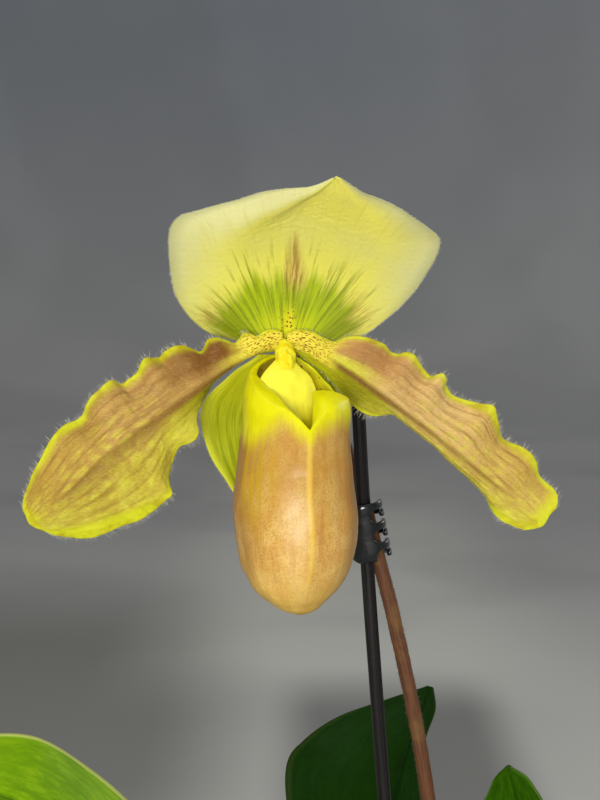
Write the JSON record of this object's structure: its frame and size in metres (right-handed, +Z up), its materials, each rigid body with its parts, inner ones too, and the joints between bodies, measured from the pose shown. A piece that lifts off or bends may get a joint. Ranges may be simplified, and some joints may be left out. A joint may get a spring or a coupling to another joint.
{
  "type": "potted slipper orchid",
  "caption": "Slipper orchid in bloom: hooded sepal, two wavy petals and a hollow pouch on a staked scape held by a hinged claw clip, over strap leaves in a round pot of bark.",
  "frame": {"origin": "centre of the pot's flat underside", "axes": "+Z up; the flower faces -Y and a little towards +X; +X is the viewer's right"},
  "size_m": [0.2429, 0.1613, 0.3336],
  "materials": {
    "pot_plastic": "matte",
    "bark": "matte",
    "leaf": "satin",
    "crown": "satin",
    "scape": "matte",
    "stake": "satin",
    "bract": "satin",
    "ovary": "matte",
    "dorsal": "satin",
    "synsepal": "satin",
    "petal": "satin",
    "pouch": "satin",
    "staminode": "satin",
    "clip_plastic": "glossy",
    "clip_steel": "satin"
  },
  "bodies": {
    "plant": {"pot": "pot_plastic", "bark_mix": "bark", "crown": "crown", "leaf_1": "leaf", "leaf_2": "leaf", "leaf_3": "leaf", "leaf_4": "leaf", "leaf_5": "leaf", "leaf_6": "leaf", "scape": "scape", "stake": "stake", "bract": "bract", "ovary": "ovary", "dorsal_sepal": "dorsal", "synsepal": "synsepal", "petal_left": "petal", "petal_right": "petal", "pouch": "pouch", "column": "staminode", "staminode": "staminode", "clip_jaw_back": "clip_plastic", "clip_pin": "clip_steel", "clip_spring": "clip_steel"},
    "clip_jaw": {"clip_jaw_front": "clip_plastic"}
  },
  "joints": [
    {"name": "clip_hinge", "type": "hinge", "parent": "plant", "child": "clip_jaw", "pos_m": [-0.03038, -0.02015, 0.25465], "axis": [0.1908, 0, -0.9816], "range_deg": [0, 35], "stiffness_Nm_per_rad": 0.01, "springref_deg": -11.46}
  ]
}
